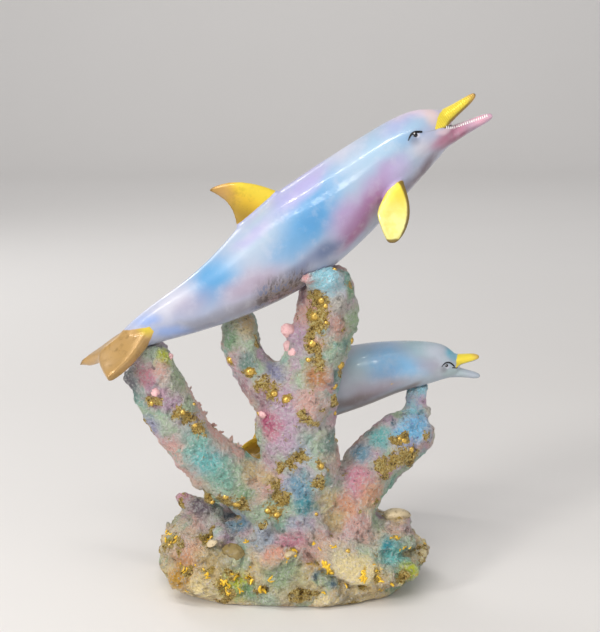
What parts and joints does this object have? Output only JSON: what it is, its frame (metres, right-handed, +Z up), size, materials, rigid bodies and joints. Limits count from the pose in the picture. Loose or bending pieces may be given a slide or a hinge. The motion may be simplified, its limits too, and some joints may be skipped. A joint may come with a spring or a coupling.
{
  "type": "figurine",
  "caption": "Painted resin figurine of a large dolphin leaping over branching coral on a rock base, with a smaller dolphin swimming behind the coral.",
  "frame": {"origin": "centre of the rock base's flat underside, on the surface it stands on", "axes": "+X to the image right, the way the dolphins head; +Y away from the viewer; +Z up"},
  "size_m": [0.2111, 0.0987, 0.2586],
  "materials": {
    "painted_coral": "granular painted resin in pastel patches with gold glitter bands",
    "pearl_gloss": "glossy pearl airbrushed blue, lilac and pink resin with gold fins and beak",
    "pearl_gloss_small": "glossy pearl blue and lilac resin with gold fins and beak"
  },
  "bodies": {
    "root": {"coral_rock": "painted_coral", "large_dolphin": "pearl_gloss", "small_dolphin": "pearl_gloss_small"}
  },
  "joints": []
}
